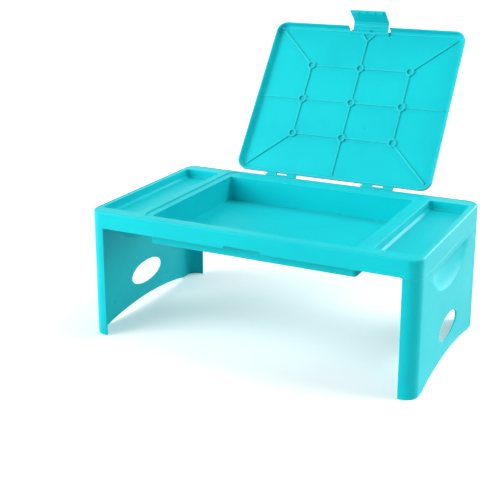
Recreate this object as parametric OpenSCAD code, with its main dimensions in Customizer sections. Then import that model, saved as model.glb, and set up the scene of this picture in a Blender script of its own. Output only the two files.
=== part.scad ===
// Lap desk with a lift lid: a moulded tray with a deep middle well and a pen tray at each end,
// a shallow lid on two rear hinges with a snap latch flap, and two end legs that fold under it.
// Origin: on the floor under the middle of the object's box. +X to the desk's right, +Y to its back, +Z up.

/* [Tray] */
// Width of the tray over both ends
tray_w = 560; // [540:5:640]
// Depth of the tray from front to back
tray_d = 332; // [325:1:380]
// Height of the tray's skirt
tray_h = 28; // [26:0.5:34]
// Radius of the tray's corners seen from above
corner_r = 21; // [16:1:26]
// Thickness of the tray's skirt
skirt_t = 2.5; // [2:0.1:3]
// Thickness of the tray's top land
land_t = 2.5; // [2:0.1:3]
// Rounding of the tray's top outer edge
rim_round = 3; // [1.5:0.5:4]
// Depth by which the ends of the skirt reach below its front and back
end_drop = 2.5; // [1:0.5:4]

/* [Well] */
// Width of the well between the pen trays
well_w = 350; // [300:5:360]
// Depth of the well's floor below the rim
well_depth = 46; // [36:1:48]
// Land between the tray's front face and the well
front_land = 25; // [22:1:35]
// Land between the well and the tray's back face
rear_land = 33; // [26:1:40]
// Radius of the well's inner corners seen from above
well_r = 5; // [4:0.5:10]
// Thickness of the walls and floors of the well and the pen trays
box_t = 2.5; // [2:0.1:3]

/* [Pen trays] */
// Width of each pen tray's opening
pen_w = 69.5; // [55:0.5:74]
// Land between the tray's end face and a pen tray
pen_end_land = 10; // [7:0.5:14]
// Land between a pen tray and the tray's back face
pen_rear_land = 28; // [20:1:40]
// Depth of a pen tray below the rim
pen_depth = 16; // [12:0.5:22]
// Radius of a pen tray's inner corners
pen_r = 7; // [7:0.5:12]
// Bevel between a pen tray's walls and its floor
pen_bevel = 3.5; // [1:0.5:5]

/* [Lid] */
// Width of the lid
lid_w = 375.5; // [340:0.5:378]
// Height of the lid from lip to top
lid_h = 14; // [12:0.5:18]
// Thickness of the lid's walls and top
lid_t = 2.5; // [2:0.1:3]
// Radius of the lid's corners seen from above
lid_r = 20; // [14:1:26]
// Rounding of the lid's top edge
lid_round = 8; // [4:0.5:9]
// Distance from the tray's front face to the closed lid
lid_front = 12; // [8:0.5:18]
// Depth of the seat that the lid drops into
seat_drop = 2; // [1:0.25:3]
// Gap all round the lid in its seat
lid_gap = 0.4; // [0.3:0.1:1]
// Angle by which the lid stands open
open_angle = 127; // [95:1:130]

/* [Lid ribs] */
// Spacing of the rib rings across the lid
ring_pitch_x = 98; // [80:1:110]
// Spacing of the rib rings from front to back
ring_pitch_y = 72.5; // [60:0.5:80]
// Outer diameter of a rib ring
ring_d = 16; // [10:0.5:22]
// Thickness of the rings' walls and of the ribs
rib_t = 2.4; // [1.6:0.1:3]
// Height of the rings under the lid's top
ring_h = 3.4; // [3:0.1:6]
// Height of the ribs under the lid's top
rib_h = 2.6; // [2:0.1:5]
// Distance from the lid's outer edge to the ends of its ribs
rib_end = 9.5; // [9:0.5:20]
// Half width of the fan of ribs behind the latch flap
fan_half = 12; // [6:0.5:24]
// Length of the fan from front to back
fan_l = 15; // [8:0.5:30]

/* [Lid hinges] */
// Distance from the middle of the lid to the middle of a hinge
hinge_x = 93; // [60:1:130]
// Width of one hinge
hinge_w = 58; // [40:1:70]
// Outer radius of a hinge knuckle
knuckle_r = 3.6; // [3:0.1:4]
// Radius of a hinge pin
hinge_pin_r = 1.5; // [1:0.1:2]
// Distance from the tray's back face to the hinge axis
hinge_back = 5.2; // [5:0.1:7]
// Depth of the hinge axis below the rim
hinge_below = 2.2; // [1.5:0.1:3]
// Gap between neighbouring knuckles
knuckle_gap = 0.5; // [0.3:0.1:1]
// Radial running clearance of every pin
pin_play = 0.06; // [0.04:0.01:0.1]

/* [Latch flap] */
// Width of the latch flap
flap_w = 70; // [50:1:76]
// Thickness of the latch flap
flap_t = 2.2; // [1.8:0.1:2.4]
// Height by which the closed flap reaches below the skirt
flap_below = 3; // [2:0.5:5]
// Gap between the closed flap and the tray
flap_gap = 0.4; // [0.3:0.1:0.8]
// Distance from the lid's front to the flap's hinge axis
flap_axis_in = 8.5; // [7.5:0.5:12]
// Outer radius of the flap's barrel
flap_barrel_r = 2.6; // [2.3:0.1:2.8]
// Radius of the flap's pin
flap_pin_r = 1.2; // [0.8:0.1:1.4]
// Angle by which the flap stands away from its closed place
flap_open = 5; // [0:1:60]
// Width of the row of catch teeth
teeth_w = 61; // [40:1:62]
// Number of catch teeth
teeth_n = 4; // [2:1:6]
// Reach of a catch tooth
tooth_reach = 2.6; // [1.5:0.1:3]
// Height of the notch in the skirt that takes the teeth
notch_h = 4; // [4:0.5:6]
// Width of the notches beside the flap in the lid's front wall
side_notch_w = 5.5; // [4:0.5:9]
// Height of the two ridges inside the flap's slope
ridge_h = 1.4; // [0.8:0.1:2]
// Spacing of those ridges
ridge_pitch = 8; // [5:0.5:10]
// Thickness of the lid's ledge behind the flap's barrel
ledge_t = 1.6; // [1.2:0.1:2.5]

/* [Legs] */
// Height from the floor to the bottom of the skirt
leg_h = 188; // [160:1:200]
// Width of a leg's front and back flanges
flange_w = 26; // [22:0.5:32]
// Thickness of a leg's walls
leg_t = 3; // [2.5:0.1:3.5]
// Gap between a standing leg and the tray
seam_gap = 0.3; // [0.3:0.1:1]
// Width of a foot from front to back
foot_w = 38; // [28:1:60]
// Rise of the arch between the feet
arch_rise = 13; // [4:1:24]
// Length of the hand hole
hole_l = 98; // [60:1:120]
// Height of the hand hole
hole_h = 41; // [30:1:60]
// Height of the hand hole's middle above the floor
hole_z = 57; // [50:1:90]
// Half width of the finger recess
recess_half = 98; // [60:1:110]
// Height of the finger recess
recess_h = 50; // [30:1:60]
// Depth of the finger recess at its top
recess_depth = 11; // [8:0.5:15]
// Distance from the skirt's front edge level down to the top of the finger recess
recess_below = 12; // [8:0.5:20]

/* [Leg pivots] */
// Height of the pivot above the skirt's bottom
pivot_z = 7; // [6:0.5:9]
// Radius of a leg's pivot lug
lug_r = 6.4; // [5.5:0.1:6.5]
// Thickness of a leg's pivot lug
lug_t = 3; // [2.5:0.1:4]
// Radius of a pivot pin
pivot_pin_r = 2.5; // [1.5:0.1:3]
// Thickness of the tray's cheek beside a lug
cheek_t = 2.5; // [2:0.1:4]
// Side gap beside a lug
lug_gap = 0.4; // [0.3:0.1:1]

/* [Hidden] */
$fn = 96;
eps = 0.01;
cut = 5;
turquoise = [0.13, 0.78, 0.80];
pin_colour = [0.10, 0.66, 0.69];

// Heights above the floor
skirt_z = leg_h;
rim_z = leg_h + tray_h;
seat_z = rim_z - seat_drop;
// Closed lid
lid_back = tray_d - 3.4 - lid_gap;
lid_d = lid_back - lid_front;
lid_rest_gap = 0.3;
lid_lip_z = seat_z + lid_rest_gap;
lid_top_z = lid_lip_z + lid_h;
// Lid hinge
axis_y = tray_d + hinge_back;
axis_z = rim_z - hinge_below;
knuckle_w = (hinge_w - 2 * knuckle_gap) / 3;
arm_t = 3.5;
arm_over = 0.5;
stop_gap = 0.3;
hinge_pin_l = hinge_w - 4;
// Latch flap, in the closed lid's place
flap_y = lid_front + flap_axis_in;
flap_z = lid_top_z - flap_barrel_r - 0.4;
flap_foot_z = skirt_z - flap_below;
flap_slot_gap = 0.6;
flap_slot_w = flap_w + 2 * flap_slot_gap;
ear_t = 4;
ear_r = flap_barrel_r + 0.4;
ledge_gap = 0.35;
slot_back = flap_y + ear_r + 0.5;
notch_w = teeth_w + 2.3;
tooth_gap = 3.5;
// Legs
leg_top_z = skirt_z - end_drop - seam_gap;
fold_gap = 0.5;
pivot_x = flange_w + fold_gap + pivot_z;
pivot_abs_z = skirt_z + pivot_z;
lug_y = skirt_t + lug_gap;
cheek_y = lug_y + lug_t + lug_gap;
cheek_half = 9;
socket_depth = 1.3;
hole_y = tray_d / 2;
// Roundness of the finger recess: 1 slopes evenly to its edge, 2 is an ellipsoid
recess_curve = 1.35;
// Bends of the flap: the upper one from level to the slope, the lower one from the slope to upright
flap_face = -flap_gap;
bend_in = 2.5;
bend_out = bend_in + flap_t;
brow = [lid_front + 1, flap_z + flap_barrel_r - bend_out];
shoulder = [flap_face + bend_in, rim_z + 1.2];
slope = atan2(brow[1] - shoulder[1], brow[0] - shoulder[0]);
// Depth of the whole object, from the front face to the outermost bend of the open lid or of its flap
flap_reach = turned(turned(shoulder, [flap_y, flap_z], flap_open), [axis_y, axis_z], open_angle)[0] + bend_out;
lid_reach = turned([lid_front + lid_round, lid_top_z - lid_round], [axis_y, axis_z], open_angle)[0] + lid_round;
mid_y = max(flap_reach, lid_reach) / 2;

function turned(p, c, a) = c + [
    (p - c)[0] * cos(a) + (p - c)[1] * sin(a),
    (p - c)[1] * cos(a) - (p - c)[0] * sin(a)
];
function arc(c, r, a0, a1, n) = [for (i = [0:n]) c + r * [cos(a0 + (a1 - a0) * i / n), sin(a0 + (a1 - a0) * i / n)]];
function half_ellipse(a, b, n) = [for (i = [0:n]) [a * cos(180 + 180 * i / n), b * sin(180 + 180 * i / n)]];

// Rounded rectangle, centred
module plan(w, d, r) {
    square([w - 2 * r, d], center = true);
    square([w, d - 2 * r], center = true);
    for (x = [-1, 1], y = [-1, 1]) translate([x * (w / 2 - r), y * (d / 2 - r)]) circle(r);
}

module slab(w, d, r, h) {
    linear_extrude(h) plan(w, d, r);
}

// Runs a profile round a rounded rectangle: the profile's x is 0 on the outline and negative inside it
module around(w, d, r) {
    for (k = [0:3]) {
        long = k % 2 == 0 ? d : w;
        wide = k % 2 == 0 ? w : d;
        rotate([0, 0, 90 * k]) {
            translate([wide / 2, 0, 0]) rotate([90, 0, 0]) linear_extrude(long - 2 * r, center = true) children();
            translate([wide / 2 - r, long / 2 - r, 0]) rotate_extrude(angle = 90) translate([r, 0]) children();
        }
    }
}

// Block with a rounded lower edge, its bottom at z = 0
module tub(w, d, r, h, e) {
    translate([0, 0, e]) slab(w, d, r, h - e);
    slab(w - 2 * e, d - 2 * e, r - e, h);
    around(w, d, r) translate([-e, e]) intersection() {
        circle(e);
        translate([0, -e]) square([e, e]);
    }
}

// The same block upside down, its top at z = h
module dome(w, d, r, h, e) {
    translate([0, 0, h]) mirror([0, 0, 1]) tub(w, d, r, h, e);
}

// Turns what is drawn in the closed lid's place to where the lid stands open
module with_lid() {
    translate([0, axis_y, axis_z]) rotate([-open_angle, 0, 0]) translate([0, -axis_y, -axis_z]) children();
}

// Turns what is drawn in the closed flap's place to where the flap stands
module with_flap() {
    with_lid() translate([0, flap_y, flap_z]) rotate([-flap_open, 0, 0]) translate([0, -flap_y, -flap_z]) children();
}

// Places the desk so that the middle of its box is over the origin
module placed() {
    translate([0, -mid_y, 0]) children();
}

module bar_x(x0, x1) {
    translate([x0, 0, 0]) rotate([90, 0, 90]) linear_extrude(x1 - x0) children();
}

// Tray

module skirt_profile() {
    translate([-skirt_t, skirt_z - end_drop]) square([skirt_t, tray_h + end_drop - rim_round]);
    translate([-rim_round - 1, rim_z - land_t]) square([1, land_t]);
    intersection() {
        translate([-rim_round, rim_z - rim_round]) circle(rim_round);
        translate([-rim_round, rim_z - rim_round]) square(rim_round);
    }
    translate([-rim_round, rim_z - rim_round]) square([rim_round - skirt_t, rim_round]);
}

// The skirt reaches lower over the legs and has a notch for the latch in front
module skirt() {
    difference() {
        translate([0, tray_d / 2, 0]) around(tray_w, tray_d, corner_r) skirt_profile();
        translate([-tray_w / 2 + flange_w, -cut, skirt_z - end_drop - cut])
            cube([tray_w - 2 * flange_w, tray_d + 2 * cut, end_drop + cut]);
        translate([-notch_w / 2, -cut, skirt_z - cut]) cube([notch_w, 2 * cut, notch_h + cut]);
    }
}

module centred_slab(w, y0, y1, r, z0, h) {
    translate([0, (y0 + y1) / 2, z0]) slab(w, y1 - y0, r, h);
}

module seat_cut() {
    centred_slab(lid_w + 2 * lid_gap, lid_front - lid_gap, lid_back + lid_gap, lid_r + lid_gap, seat_z, cut);
}

module well_body() {
    y0 = front_land - box_t;
    y1 = tray_d - rear_land + box_t;
    floor_z = rim_z - well_depth - box_t;
    translate([0, (y0 + y1) / 2, floor_z])
        tub(well_w + 2 * box_t, y1 - y0, well_r + box_t, seat_z - floor_z, well_r * 0.7);
}

module pen_body() {
    w = pen_w + 2 * box_t;
    y0 = front_land - box_t;
    y1 = tray_d - pen_rear_land + box_t;
    floor_z = rim_z - pen_depth - box_t;
    translate([pen_x(), (y0 + y1) / 2, floor_z]) tub(w, y1 - y0, pen_r + box_t, pen_depth + box_t, box_t);
}

module pen_cavity() {
    d = tray_d - pen_rear_land - front_land;
    translate([pen_x(), front_land + d / 2, rim_z - pen_depth]) difference() {
        slab(pen_w, d, pen_r, pen_depth + cut);
        around(pen_w, d, pen_r) polygon([[eps, -eps], [-pen_bevel, -eps], [-pen_bevel, 0], [0, pen_bevel], [eps, pen_bevel]]);
    }
}

function pen_x() = tray_w / 2 - pen_end_land - pen_w / 2;

module tray_knuckle() {
    bar_x(-knuckle_w / 2, knuckle_w / 2) {
        translate([axis_y, axis_z]) circle(knuckle_r);
        polygon([
            [tray_d - skirt_t, axis_z - 12], [tray_d, axis_z - 12], [axis_y + knuckle_r * 0.8, axis_z - knuckle_r * 0.6],
            [axis_y, axis_z + knuckle_r], [tray_d - skirt_t, axis_z + hinge_below - 0.5]
        ]);
    }
}

// The cheek that holds a pivot pin's inner end, for the leg at -X and the tray's front
module cheek() {
    translate([-tray_w / 2 + pivot_x, cheek_y, 0]) rotate([-90, 0, 0]) linear_extrude(cheek_t) {
        translate([0, -pivot_abs_z]) circle(cheek_half);
        translate([-cheek_half, -rim_z + land_t - eps]) square([2 * cheek_half, rim_z - land_t - pivot_abs_z]);
    }
}

module front_and_back() {
    children();
    translate([0, tray_d, 0]) mirror([0, 1, 0]) children();
}

module both_ends() {
    children();
    mirror([1, 0, 0]) children();
}

module pivot_bore(y0, y1) {
    translate([-tray_w / 2 + pivot_x, y0, pivot_abs_z]) rotate([-90, 0, 0]) cylinder(r = pivot_pin_r + pin_play, h = y1 - y0);
}

module tray() {
    color(turquoise) placed() difference() {
        union() {
            skirt();
            translate([0, tray_d / 2, rim_z - land_t])
                slab(tray_w - 2 * rim_round, tray_d - 2 * rim_round, corner_r - rim_round, land_t);
            centred_slab(lid_w + 2 * (lid_gap + box_t), lid_front - lid_gap - box_t, tray_d - skirt_t + eps,
                lid_r + box_t, seat_z - land_t, land_t + eps);
            well_body();
            both_ends() pen_body();
            both_ends() front_and_back() cheek();
            for (x = [-hinge_x, hinge_x]) translate([x, 0, 0]) tray_knuckle();
        }
        seat_cut();
        centred_slab(well_w, front_land, tray_d - rear_land, well_r, rim_z - well_depth, well_depth + cut);
        both_ends() pen_cavity();
        both_ends() front_and_back() pivot_bore(skirt_t - socket_depth, cheek_y + cheek_t + cut);
        translate([-tray_w / 2, axis_y, axis_z]) rotate([0, 90, 0]) cylinder(r = hinge_pin_r + pin_play, h = tray_w);
    }
}

// Lid

module lid_shell() {
    translate([0, (lid_front + lid_back) / 2, lid_lip_z]) difference() {
        dome(lid_w, lid_d, lid_r, lid_h, lid_round);
        translate([0, 0, -cut])
            dome(lid_w - 2 * lid_t, lid_d - 2 * lid_t, lid_r - lid_t, lid_h - lid_t + cut, lid_round - lid_t);
    }
}

module rib(a, b, h) {
    d = b - a;
    translate([a[0], a[1], lid_top_z - lid_t - h]) rotate([0, 0, atan2(d[1], d[0])])
        translate([0, -rib_t / 2, 0]) cube([norm(d), rib_t, h + eps]);
}

// A net of ribs through nine rings: its middle row and column run on towards the lid's edges
module lid_ribs() {
    mid = [0, (lid_front + lid_back) / 2];
    edge = [lid_w / 2 - rib_end, lid_d / 2 - rib_end];
    corner = [for (e = edge) e - lid_r * (1 - cos(45))];
    pitch = [ring_pitch_x, ring_pitch_y];
    fan = [0, slot_back + fan_l];
    difference() {
        union() {
            for (j = [-1, 0, 1]) {
                across = j == 0 ? edge[0] : pitch[0];
                rib(mid + [-across, j * pitch[1]], mid + [across, j * pitch[1]], rib_h);
                front = j == 0 ? fan : mid + [j * pitch[0], -pitch[1]];
                rib(front, mid + [j * pitch[0], j == 0 ? edge[1] : pitch[1]], rib_h);
            }
            for (s = [-1, 1]) rib(fan, [s * fan_half, slot_back - eps], rib_h);
            for (sx = [-1, 1], sy = [-1, 1])
                rib(mid + [sx * pitch[0], sy * pitch[1]], mid + [sx * corner[0], sy * corner[1]], rib_h);
            for (i = [-1:1], j = [-1:1]) translate([i * pitch[0], mid[1] + j * pitch[1], lid_top_z - lid_t - ring_h])
                cylinder(d = ring_d, h = ring_h + eps);
        }
        for (i = [-1:1], j = [-1:1])
            translate([i * pitch[0], mid[1] + j * pitch[1], lid_top_z - lid_t - ring_h - eps])
                cylinder(d = ring_d - 2 * rib_t, h = ring_h + eps);
    }
}

// Two arms of one hinge with their knuckles and the heels that stop the lid against the tray's back
module lid_hinge() {
    for (s = [-1, 1]) translate([s * (knuckle_w + knuckle_gap), 0, 0]) bar_x(-knuckle_w / 2, knuckle_w / 2) {
        translate([axis_y, axis_z]) circle(knuckle_r);
        translate([lid_back - lid_t / 2, rim_z + arm_over]) square([axis_y - lid_back + lid_t / 2, arm_t]);
        intersection() {
            translate([axis_y, rim_z + arm_over]) circle(arm_t);
            translate([axis_y, rim_z + arm_over]) square(arm_t);
        }
        translate([axis_y, axis_z]) square([knuckle_r, rim_z + arm_over - axis_z + eps]);
        translate([axis_y, axis_z]) rotate(open_angle)
            translate([-hinge_back + stop_gap, -knuckle_r]) square([hinge_back - stop_gap, knuckle_r]);
    }
}

module lid_ears() {
    both_ends() bar_x(flap_slot_w / 2, flap_slot_w / 2 + ear_t) {
        translate([flap_y, flap_z]) circle(ear_r);
        translate([flap_y - ear_r, flap_z]) square([2 * ear_r, lid_top_z - lid_t - flap_z + eps]);
    }
}

// Ledge behind the flap's barrel, which closes the gap there
module lid_ledge() {
    outer = flap_barrel_r + ledge_gap + ledge_t;
    bar_x(-flap_slot_w / 2 - ear_t, flap_slot_w / 2 + ear_t) translate([flap_y, flap_z]) difference() {
        union() {
            intersection() {
                circle(outer);
                translate([0, -outer]) square(outer);
            }
            translate([0, -eps]) square([outer, lid_top_z - lid_t / 2 - flap_z]);
        }
        circle(flap_barrel_r + ledge_gap);
        translate([-eps, 0]) square([flap_barrel_r + ledge_gap, cut]);
    }
}

module lid_closed() {
    difference() {
        union() {
            lid_shell();
            lid_ribs();
            for (x = [-hinge_x, hinge_x]) translate([x, 0, 0]) lid_hinge();
        }
        translate([-flap_slot_w / 2, lid_front - cut, lid_lip_z - cut])
            cube([flap_slot_w, slot_back - lid_front + cut, lid_h + 2 * cut]);
        both_ends() translate([flap_slot_w / 2 - eps, lid_front - cut, lid_lip_z - cut]) {
            cube([side_notch_w, cut + flap_axis_in - ear_r - side_notch_w / 2 - 0.3, lid_h + 2 * cut]);
            translate([side_notch_w / 2, cut + flap_axis_in - ear_r - side_notch_w / 2 - 0.3, 0])
                cylinder(d = side_notch_w, h = lid_h + 2 * cut);
        }
        translate([-tray_w / 2, axis_y, axis_z]) rotate([0, 90, 0]) cylinder(r = hinge_pin_r + pin_play, h = tray_w);
    }
}

module lid() {
    color(turquoise) placed() with_lid() difference() {
        union() {
            lid_closed();
            lid_ears();
            lid_ledge();
        }
        translate([-tray_w / 2, flap_y, flap_z]) rotate([0, 90, 0]) cylinder(r = flap_pin_r + pin_play, h = tray_w);
    }
}

// Latch flap: from the barrel over the lid's front edge and the rim, then down the skirt

module flap_profile() {
    top = flap_z + flap_barrel_r;
    translate([flap_y, flap_z]) circle(flap_barrel_r);
    polygon(concat(
        [[flap_y, top]],
        arc(brow, bend_out, 90, 90 + slope, 8),
        arc(shoulder, bend_out, 90 + slope, 180, 12),
        [[flap_face - flap_t, flap_foot_z], [flap_face, flap_foot_z]],
        arc(shoulder, bend_in, 180, 90 + slope, 12),
        arc(brow, bend_in, 90 + slope, 90, 8),
        [[flap_y, top - flap_t]]
    ));
}

module latch_teeth() {
    w = (teeth_w - (teeth_n - 1) * tooth_gap) / teeth_n;
    base = flap_face - eps;
    for (i = [0:teeth_n - 1]) {
        x0 = -teeth_w / 2 + i * (w + tooth_gap);
        bar_x(x0, x0 + w) polygon([
            [base, flap_foot_z + 0.8], [base, skirt_z + 1.9],
            [base + tooth_reach, skirt_z + 1.9], [base + tooth_reach, skirt_z + 0.9]
        ]);
    }
}

// Two ridges across the inside of the flap's slope
module flap_ridges() {
    along = [cos(slope), sin(slope)];
    inside = [sin(slope), -cos(slope)];
    for (i = [0, 1]) {
        foot = shoulder + bend_in * -inside + (1 + i * ridge_pitch) * along;
        bar_x(-flap_w / 2, flap_w / 2) polygon([
            foot - ridge_h * along - eps * inside, foot - ridge_h / 2 * along + ridge_h * inside,
            foot + ridge_h / 2 * along + ridge_h * inside, foot + ridge_h * along - eps * inside
        ]);
    }
}

module flap_rib() {
    bar_x(-rib_t / 2, rib_t / 2) polygon([
        [flap_y, flap_z - flap_barrel_r], [flap_y, flap_z + flap_barrel_r - flap_t / 2],
        [lid_front + 2, flap_z + flap_barrel_r - flap_t / 2], [lid_front + 2, flap_z - 2]
    ]);
}

module latch_flap() {
    color(turquoise) placed() with_flap() difference() {
        union() {
            bar_x(-flap_w / 2, flap_w / 2) flap_profile();
            latch_teeth();
            flap_ridges();
            flap_rib();
        }
        translate([-flap_w, flap_y, flap_z]) rotate([0, 90, 0]) cylinder(r = flap_pin_r + pin_play, h = 2 * flap_w);
    }
}

// Legs, drawn for the end at -X

// Slice of the finger recess, seen from the end: a half ellipse that hangs from a flat top
module recess_slice(part, grow) {
    a = recess_half * part + grow;
    b = recess_h * part + grow;
    rotate([90, 0, 90]) linear_extrude(eps) polygon(concat(half_ellipse(a, b, 44), [[a, grow], [-a, grow]]));
}

// Finger recess: a scoop that is deepest under its flat top and rises to its lower arc.
// grow makes the wall round it, out carries the cut past the leg's outer face.
module recess(grow, out) {
    steps = 6;
    translate([-tray_w / 2, hole_y, skirt_z - recess_below]) hull() {
        translate([-out, 0, 0]) recess_slice(1, grow);
        for (i = [0:steps]) {
            deep = 1 - pow(1 - i / steps, 1.6);
            translate([deep * (recess_depth + grow) - eps, 0, 0])
                recess_slice(sqrt(max(0.006, 1 - pow(deep, recess_curve))), grow);
        }
    }
}

module leg_outline() {
    intersection() {
        translate([0, tray_d / 2]) difference() {
            plan(tray_w, tray_d, corner_r);
            plan(tray_w - 2 * leg_t, tray_d - 2 * leg_t, corner_r - leg_t);
        }
        translate([-tray_w / 2 - cut, -cut]) square([flange_w + cut, tray_d + 2 * cut]);
    }
}

module leg_arch() {
    y0 = foot_w;
    y1 = tray_d - foot_w;
    steps = 32;
    bar_x(-tray_w / 2 - cut, -tray_w / 2 + leg_t + cut) polygon(concat(
        [for (i = [0:steps]) [y0 + (y1 - y0) * i / steps, arch_rise * pow(sin(180 * i / steps), 0.8) - eps]],
        [[y1, -cut], [y0, -cut]]
    ));
}

module hand_hole() {
    bar_x(-tray_w / 2 - cut, -tray_w / 2 + leg_t + cut) translate([hole_y, hole_z])
        polygon([for (i = [0:71]) [hole_l / 2 * cos(5 * i), hole_h / 2 * sin(5 * i)]]);
}

// Lug behind the skirt: it joins the flange below the seam and carries the pivot bore
module leg_lug() {
    x0 = -tray_w / 2 + corner_r + 0.5;
    x1 = -tray_w / 2 + flange_w;
    px = -tray_w / 2 + pivot_x;
    root_h = 12;
    translate([0, lug_y + lug_t, 0]) rotate([90, 0, 0]) linear_extrude(lug_t) {
        translate([px, pivot_abs_z]) circle(lug_r);
        polygon([
            [x0, leg_top_z - root_h], [x1, leg_top_z - root_h], [x1, leg_top_z], [px, pivot_abs_z - lug_r],
            [px, pivot_abs_z + lug_r], [x1 - 2, pivot_abs_z + lug_r - 2], [x0, pivot_abs_z]
        ]);
    }
    // Root of the lug on the flange's inner face
    translate([x1 - root_h, leg_t - eps, leg_top_z - root_h]) cube([root_h, lug_y + lug_t - leg_t + eps, root_h]);
}

module leg() {
    difference() {
        union() {
            linear_extrude(leg_top_z) leg_outline();
            intersection() {
                recess(leg_t * 0.85, eps);
                translate([-tray_w / 2, 0, 0]) cube([tray_w, tray_d, leg_top_z]);
            }
            front_and_back() leg_lug();
        }
        recess(0, 1);
        leg_arch();
        hand_hole();
        front_and_back() pivot_bore(-cut, cheek_y);
    }
}

module left_leg() {
    color(turquoise) placed() leg();
}

module right_leg() {
    color(turquoise) placed() mirror([1, 0, 0]) leg();
}

// Pins

module hinge_pin(x) {
    color(pin_colour) placed() translate([x - hinge_pin_l / 2, axis_y, axis_z]) rotate([0, 90, 0])
        cylinder(r = hinge_pin_r, h = hinge_pin_l);
}

module left_hinge_pin() {
    hinge_pin(-hinge_x);
}

module right_hinge_pin() {
    hinge_pin(hinge_x);
}

module latch_pin() {
    l = flap_slot_w + 2 * ear_t;
    color(pin_colour) placed() with_lid() translate([-l / 2, flap_y, flap_z]) rotate([0, 90, 0])
        cylinder(r = flap_pin_r, h = l);
}

module pivot_pin() {
    y0 = skirt_t - socket_depth + pin_play;
    translate([-tray_w / 2 + pivot_x, y0, pivot_abs_z]) rotate([-90, 0, 0])
        cylinder(r = pivot_pin_r, h = cheek_y + cheek_t - y0);
}

module back_of() {
    translate([0, tray_d, 0]) mirror([0, 1, 0]) children();
}

module left_front_pivot_pin() {
    color(pin_colour) placed() pivot_pin();
}

module left_rear_pivot_pin() {
    color(pin_colour) placed() back_of() pivot_pin();
}

module right_front_pivot_pin() {
    color(pin_colour) placed() mirror([1, 0, 0]) pivot_pin();
}

module right_rear_pivot_pin() {
    color(pin_colour) placed() mirror([1, 0, 0]) back_of() pivot_pin();
}

tray();
lid();
latch_flap();
left_leg();
right_leg();
left_hinge_pin();
right_hinge_pin();
latch_pin();
left_front_pivot_pin();
left_rear_pivot_pin();
right_front_pivot_pin();
right_rear_pivot_pin();
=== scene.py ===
import math

import bmesh
import bpy
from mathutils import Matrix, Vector


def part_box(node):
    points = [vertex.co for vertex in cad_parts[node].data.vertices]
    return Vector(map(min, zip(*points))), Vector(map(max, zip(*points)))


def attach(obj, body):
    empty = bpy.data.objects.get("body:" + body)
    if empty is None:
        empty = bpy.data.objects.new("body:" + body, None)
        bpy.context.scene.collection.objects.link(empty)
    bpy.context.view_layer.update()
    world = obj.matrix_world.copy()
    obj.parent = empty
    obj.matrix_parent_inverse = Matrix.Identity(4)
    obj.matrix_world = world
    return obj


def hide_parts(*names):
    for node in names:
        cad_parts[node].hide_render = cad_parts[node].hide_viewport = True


# Lap desk with a lift lid, moulded in one turquoise plastic. Metres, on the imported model's own frame.

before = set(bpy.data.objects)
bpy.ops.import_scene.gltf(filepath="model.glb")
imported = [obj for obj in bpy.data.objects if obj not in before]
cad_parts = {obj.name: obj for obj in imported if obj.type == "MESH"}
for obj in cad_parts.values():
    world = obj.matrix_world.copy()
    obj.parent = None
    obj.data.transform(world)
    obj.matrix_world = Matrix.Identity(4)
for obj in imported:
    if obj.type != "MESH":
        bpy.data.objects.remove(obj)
scene = bpy.context.scene
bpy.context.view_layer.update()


# The photograph's viewpoint

view = {
    "place": (0.66204, -1.29477, 0.69574),  # from the middle of the tray's front edge, at floor level
    "turn": 26.585,  # degrees to the left of straight ahead
    "dip": 15.762,  # degrees below level
    "focalPixels": 1011.97,
    "axisRow": 190.0,  # image row that the lens axis meets
    "imagePixels": 500,
    "sensorWidth": 36,  # millimetres
    "nearest": 0.05,
    "furthest": 60,
}

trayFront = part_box("tray")[0][1]
cameraData = bpy.data.cameras.new("viewCamera")
camera = bpy.data.objects.new("viewCamera", cameraData)
scene.collection.objects.link(camera)
camera.location = (view["place"][0], trayFront + view["place"][1], view["place"][2])
camera.rotation_euler = (math.radians(90 - view["dip"]), 0, math.radians(view["turn"]))
cameraData.sensor_width = view["sensorWidth"]
cameraData.lens = view["sensorWidth"] * view["focalPixels"] / view["imagePixels"]
cameraData.shift_y = (view["axisRow"] - view["imagePixels"] / 2) / view["imagePixels"]
cameraData.clip_start = view["nearest"]
cameraData.clip_end = view["furthest"]
scene.camera = camera
print("camera placed")


# Shader helpers: a wrapped socket, so that maths on it reads as a plain expression

class Signal:
    def __init__(self, shader, socket):
        self.shader = shader
        self.socket = socket

    def maths(self, operation, *values):
        return self.shader.node("ShaderNodeMath", {"operation": operation}, dict(enumerate(values)))

    def __add__(self, other):
        return self.maths("ADD", self, other)

    def __radd__(self, other):
        return self.maths("ADD", other, self)

    def __sub__(self, other):
        return self.maths("SUBTRACT", self, other)

    def __rsub__(self, other):
        return self.maths("SUBTRACT", other, self)

    def __mul__(self, other):
        return self.maths("MULTIPLY", self, other)

    def __rmul__(self, other):
        return self.maths("MULTIPLY", other, self)


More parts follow.
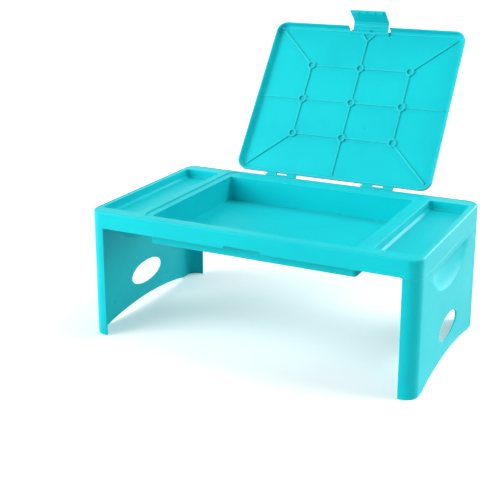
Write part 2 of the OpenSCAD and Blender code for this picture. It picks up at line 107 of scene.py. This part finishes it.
class Shader:
    def __init__(self, name, owner=None):
        self.owner = owner or bpy.data.materials.new(name)
        self.owner.use_nodes = True
        self.tree = self.owner.node_tree
        self.tree.nodes.clear()

    # Adds any node: its settings first, then the values or links of its sockets
    def node(self, kind, settings=None, sockets=None, out=0):
        made = self.tree.nodes.new(kind)
        for key, value in (settings or {}).items():
            setattr(made, key, value)
        for key, value in (sockets or {}).items():
            if isinstance(value, Signal):
                self.tree.links.new(value.socket, made.inputs[key])
            else:
                made.inputs[key].default_value = value
        return Signal(self, made.outputs[out]) if made.outputs else made

    def mixColour(self, amount, first, second):
        return self.node("ShaderNodeMix", {"data_type": "RGBA"}, {0: amount, 6: first, 7: second}, out=2)

    def vector(self, operation, first, second, out=0):
        return self.node("ShaderNodeVectorMath", {"operation": operation}, {0: first, 1: second}, out)

    def noise(self, place, size, detail, roughness):
        return self.node("ShaderNodeTexNoise", None, {
            "Vector": place, "Scale": 1 / size, "Detail": detail, "Roughness": roughness})

    # 0 where the value is at low, 1 where it is at high
    def ramp(self, value, low, high):
        return self.node("ShaderNodeMapRange", {"clamp": True}, {"Value": value, 1: low, 2: high, 3: 0, 4: 1})


def srgb(r, g, b):
    # A colour as it is read off a picture, 0 to 255, in the renderer's linear light
    def linear(c):
        c /= 255
        return c / 12.92 if c <= 0.04045 else ((c + 0.055) / 1.055) ** 2.4
    return (linear(r), linear(g), linear(b), 1)


def grey(level):
    return (level, level, level, 1)


# Moulded plastic

plastic = {
    "turquoise": srgb(0, 204, 212),
    "flowShade": srgb(0, 196, 206),  # where the melt cooled a little denser
    "dentPaintedShade": srgb(0, 150, 158),  # painted shade in the dents of the mould's ejector pins
    "paleWearAndHighlight": srgb(110, 236, 240),  # pale of edges worn by hands and covers, with a painted highlight on them, and of scuffs
    "roughness": 0.44,
    "reflection": 0.13,  # a dull plastic: less than glass at a right angle
    "haze": 0.03,  # the pale bloom seen along a surface
    "hazeSpread": 0.5,
    "density": 1.49,  # index of refraction
    "scuffs": 0.35,
    "rays": 6,  # for each look at the edges round a point
    "reliefDepth": 0.0003,
    "reliefStrength": 0.30,
}

# Each pattern's size in metres, its octaves and how rough it is
pattern = {
    "grain": (0.0007, 3, 0.5),
    "flow": (0.11, 4, 0.6),
    "rub": (0.006, 5, 0.65),
    "scratch": (0.0016, 4, 0.7),
    "patches": (0.05, 3, 0.55),
}
scratchStretch = (0.06, 1.0, 1.0)  # scratches run along the desk

# Where each mask begins and ends
reach = {
    "scratch": (0.60, 0.74),
    "patches": (0.50, 0.66),
    "flow": (0.35, 0.70),
    "edgeTurn": (0.999, 0.92),  # cosine between the face and its rounded normal
    "outerEdge": (0.97, 0.70),  # how open the solid is close behind the face
    "inside": 1.3,  # how far behind it that is judged, against the edge width
    "markRim": 0.4,  # share of a dent's radius that is at full depth
}

# How deep each pattern is, against the relief's depth, and how much duller it makes the plastic
depth = {"grain": 0.30, "rub": 0.15, "scuff": 0.5, "mark": 1.4}
dulling = {"flow": 0.10, "rub": 0.06, "wearAndPaintedHighlight": 0.10, "scuff": 0.25}
# How far the colour moves: to the pale of worn edges with their painted highlight, to the pale of scuffs, and
# to the painted shade in dents
paling = {"least": 0.35, "rub": 0.9, "scuff": 0.25, "mark": 0.55}


def mouldedPlastic(name, look):
    s = Shader(name)
    seed = look["seed"]
    place = s.node("ShaderNodeTexCoord", out="Object")
    moved = s.vector("ADD", place, (seed, seed * 1.7, -seed))  # no two pieces wear the same marks
    grain = s.noise(moved, *pattern["grain"])
    flow = s.noise(moved, *pattern["flow"])
    rub = s.noise(moved, *pattern["rub"])
    scratch = s.noise(s.vector("MULTIPLY", moved, scratchStretch), *pattern["scratch"])
    patches = s.noise(moved, *pattern["patches"])
    scuffed = s.ramp(scratch, *reach["scratch"]) * s.ramp(patches, *reach["patches"]) * plastic["scuffs"]

    # Outer edges lose their gloss first and go pale, partly from wear and partly as a painted highlight;
    # inner corners keep their colour
    flat = s.node("ShaderNodeNewGeometry", out="Normal")
    rounded = s.node("ShaderNodeBevel", {"samples": plastic["rays"]}, {"Radius": look["edgeWidth"]})
    turn = s.vector("DOT_PRODUCT", flat, rounded, out="Value")
    within = s.node("ShaderNodeAmbientOcclusion", {
        "inside": True, "only_local": True, "samples": plastic["rays"]}, {
        "Distance": look["edgeWidth"] * reach["inside"]}, out="AO")
    edges = s.ramp(turn, *reach["edgeTurn"]) * s.ramp(within, *reach["outerEdge"])
    # wear together with a painted highlight along the outer edges
    wearAndPaintedHighlight = edges * (paling["least"] + rub * paling["rub"]) * look["wearAndHighlightStrength"]

    colour = s.mixColour(s.ramp(flow, *reach["flow"]), plastic["turquoise"], plastic["flowShade"])
    # paler where edges are worn and carry the painted highlight, and where scuffed
    colour = s.mixColour(wearAndPaintedHighlight + scuffed * paling["scuff"], colour, plastic["paleWearAndHighlight"])
    dull = (flow - 0.5) * dulling["flow"] + (rub - 0.5) * dulling["rub"]
    dull = dull + wearAndPaintedHighlight * dulling["wearAndPaintedHighlight"] + scuffed * dulling["scuff"]
    height = grain * depth["grain"] + rub * depth["rub"] - scuffed * depth["scuff"]
    for centre, radius in look.get("marks", ()):
        away = s.vector("DISTANCE", place, centre, out="Value")
        dent = s.ramp(away, radius, radius * reach["markRim"])
        height = height - dent * depth["mark"]
        # painted shade inside each dent
        colour = s.mixColour(dent * paling["mark"], colour, plastic["dentPaintedShade"])
    relief = s.node("ShaderNodeBump", None, {
        "Strength": plastic["reliefStrength"], "Distance": plastic["reliefDepth"],
        "Height": height, "Normal": rounded})

    roughness = look.get("roughness", plastic["roughness"]) + dull
    body = s.node("ShaderNodeBsdfPrincipled", None, {
        "Base Color": colour, "Roughness": roughness, "Normal": relief,
        "IOR": plastic["density"], "Specular IOR Level": plastic["reflection"],
        "Sheen Weight": plastic["haze"], "Sheen Roughness": plastic["hazeSpread"], "Sheen Tint": grey(1)})
    s.node("ShaderNodeOutputMaterial", None, {"Surface": body})
    return s.owner


# Pieces: each CAD solid is taken over, its flats are joined and its edges rounded off

rounding = {
    "sharpFrom": math.radians(28),  # an edge that turns further than this is rounded
    "creaseFrom": math.radians(46),  # what still turns further than this is shaded as a crease
    "steps": 3,
    "weldWithin": 2e-6,
}


def moulding(node, look):
    work = bmesh.new()
    work.from_mesh(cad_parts[node].data)
    bmesh.ops.remove_doubles(work, verts=work.verts, dist=rounding["weldWithin"])
    sharp = [e for e in work.edges if len(e.link_faces) == 2 and e.calc_face_angle(0) > rounding["sharpFrom"]]
    bmesh.ops.bevel(work, geom=sharp, offset=look["edgeRound"], offset_type="OFFSET",
                    segments=rounding["steps"], profile=0.5, affect="EDGES",
                    clamp_overlap=False, miter_outer="SHARP")
    for face in work.faces:
        face.smooth = True
    for edge in work.edges:
        edge.smooth = len(edge.link_faces) == 2 and edge.calc_face_angle(0) < rounding["creaseFrom"]
    mesh = bpy.data.meshes.new(node + "Mesh")
    work.to_mesh(mesh)
    work.free()
    piece = bpy.data.objects.new(node + "Piece", mesh)
    scene.collection.objects.link(piece)
    mesh.materials.append(mouldedPlastic(node + "Plastic", look))
    piece.modifiers.new("evenShading", "WEIGHTED_NORMAL").keep_sharp = True
    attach(piece, node)
    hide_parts(node)
    print(node, "refined,", len(mesh.polygons), "faces")


# In each piece, marks are the ejector pins' dents, darkened by painted shade: their centres and radii
tray = {"edgeRound": 0.0005, "edgeWidth": 0.0012, "wearAndHighlightStrength": 0.7, "seed": 0.0}
moulding("tray", tray)

lid = {
    "edgeRound": 0.0004, "edgeWidth": 0.0014, "wearAndHighlightStrength": 1.0, "seed": 3.1,
    "marks": [((0.0389, 0.1445, 0.3018), 0.0024)],
}
moulding("lid", lid)

latchFlap = {"edgeRound": 0.0003, "edgeWidth": 0.0012, "wearAndHighlightStrength": 0.7, "seed": 5.3}
moulding("latch_flap", latchFlap)

leftLeg = {
    "edgeRound": 0.0005, "edgeWidth": 0.0012, "wearAndHighlightStrength": 0.7, "seed": 7.7,
    "marks": [((-0.277, -0.2140, 0.0339), 0.0034), ((-0.277, -0.0406, 0.0314), 0.0028)],
}
moulding("left_leg", leftLeg)

rightLeg = {"edgeRound": 0.0005, "edgeWidth": 0.0012, "wearAndHighlightStrength": 0.7, "seed": 9.2}
moulding("right_leg", rightLeg)

pins = {
    "nodes": ("left_hinge_pin", "right_hinge_pin", "latch_pin", "left_front_pivot_pin",
              "left_rear_pivot_pin", "right_front_pivot_pin", "right_rear_pivot_pin"),
    "roughness": 0.48, "edgeWidth": 0.0010, "wearAndHighlightStrength": 0.6, "seed": 11.4,
}
pinPlastic = mouldedPlastic("pinPlastic", pins)
for node in pins["nodes"]:
    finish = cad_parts[node].data.materials
    finish.clear()
    finish.append(pinPlastic)
print("pins finished")


# Floor, backdrop and light

studio = {
    "sky": 0.24,  # what the white surroundings send to the object
    "floorShade": 0.66,  # how much of the light the floor sends back up
    "floorSeen": 1.0,  # the part of the floor's look that shadows take away
    "floorGlow": 0.20,  # the part that they leave
    "floorSize": 30,
    "floorPlace": (0, 2.0, -0.0004),  # just under the feet
}


def seenByEye(s):
    # 1 for what the camera sees straight, in a reflection or through something clear
    seen = s.node("ShaderNodeLightPath", out="Is Camera Ray")
    for ray in ("Is Glossy Ray", "Is Transmission Ray"):
        seen = seen.maths("MAXIMUM", seen, s.node("ShaderNodeLightPath", out=ray))
    return seen


def whiteFloor(name):
    s = Shader(name)
    lit = s.node("ShaderNodeBsdfDiffuse", None, {"Color": grey(studio["floorShade"])})
    shown = s.node("ShaderNodeBsdfDiffuse", None, {"Color": grey(studio["floorSeen"])})
    glow = s.node("ShaderNodeEmission", None, {"Color": grey(1), "Strength": studio["floorGlow"]})
    look = s.node("ShaderNodeAddShader", None, {0: shown, 1: glow})
    both = s.node("ShaderNodeMixShader", None, {0: seenByEye(s), 1: lit, 2: look})
    s.node("ShaderNodeOutputMaterial", None, {"Surface": both})
    return s.owner


bpy.ops.mesh.primitive_plane_add(size=studio["floorSize"], location=studio["floorPlace"])
floor = bpy.context.object
floor.name = "floor"
floor.data.materials.append(whiteFloor("paleFloor"))

scene.world = bpy.data.worlds.new("studio")
sky = Shader("studio", scene.world)
around = sky.node("ShaderNodeBackground", None, {"Color": grey(1), "Strength": studio["sky"]})
behind = sky.node("ShaderNodeBackground", None, {"Color": grey(1), "Strength": 1})
backdrop = sky.node("ShaderNodeMixShader", None, {0: seenByEye(sky), 1: around, 2: behind})
sky.node("ShaderNodeOutputWorld", None, {"Surface": backdrop})
print("floor and backdrop set")

# Lamps far off, all angles in degrees: side is from straight in front towards the desk's right
farLamps = {
    "fill": {"side": -40, "height": 26, "spread": 60, "power": 0.70},
    "overhead": {"side": 118, "height": 50, "spread": 34, "power": 0.60},
    "rimLight": {"side": 154, "height": 5, "spread": 46, "power": 1.10},
}
farAway = 3

# A soft box that brightens the front's left end
frontLeft = {"place": (-1.05, -1.05, 0.55), "aim": (-0.2, -0.2, 0.2), "size": 0.6, "power": 6.5}


def lamp(name, kind, power, place, aim):
    data = bpy.data.lights.new(name, kind)
    data.energy = power
    made = bpy.data.objects.new(name, data)
    scene.collection.objects.link(made)
    made.location = place
    made.rotation_euler = (Vector(aim) - Vector(place)).to_track_quat("-Z", "Y").to_euler()
    return data


for name, far in farLamps.items():
    side, height = math.radians(far["side"]), math.radians(far["height"])
    way = Vector((math.sin(side) * math.cos(height), -math.cos(side) * math.cos(height), math.sin(height)))
    lamp(name, "SUN", far["power"] * math.pi, way * farAway, (0, 0, 0)).angle = math.radians(far["spread"])

softBox = lamp("frontLeft", "AREA", frontLeft["power"], frontLeft["place"], frontLeft["aim"])
softBox.shape = "SQUARE"
softBox.size = frontLeft["size"]
print("lamps set")

scene.view_settings.view_transform = "Standard"
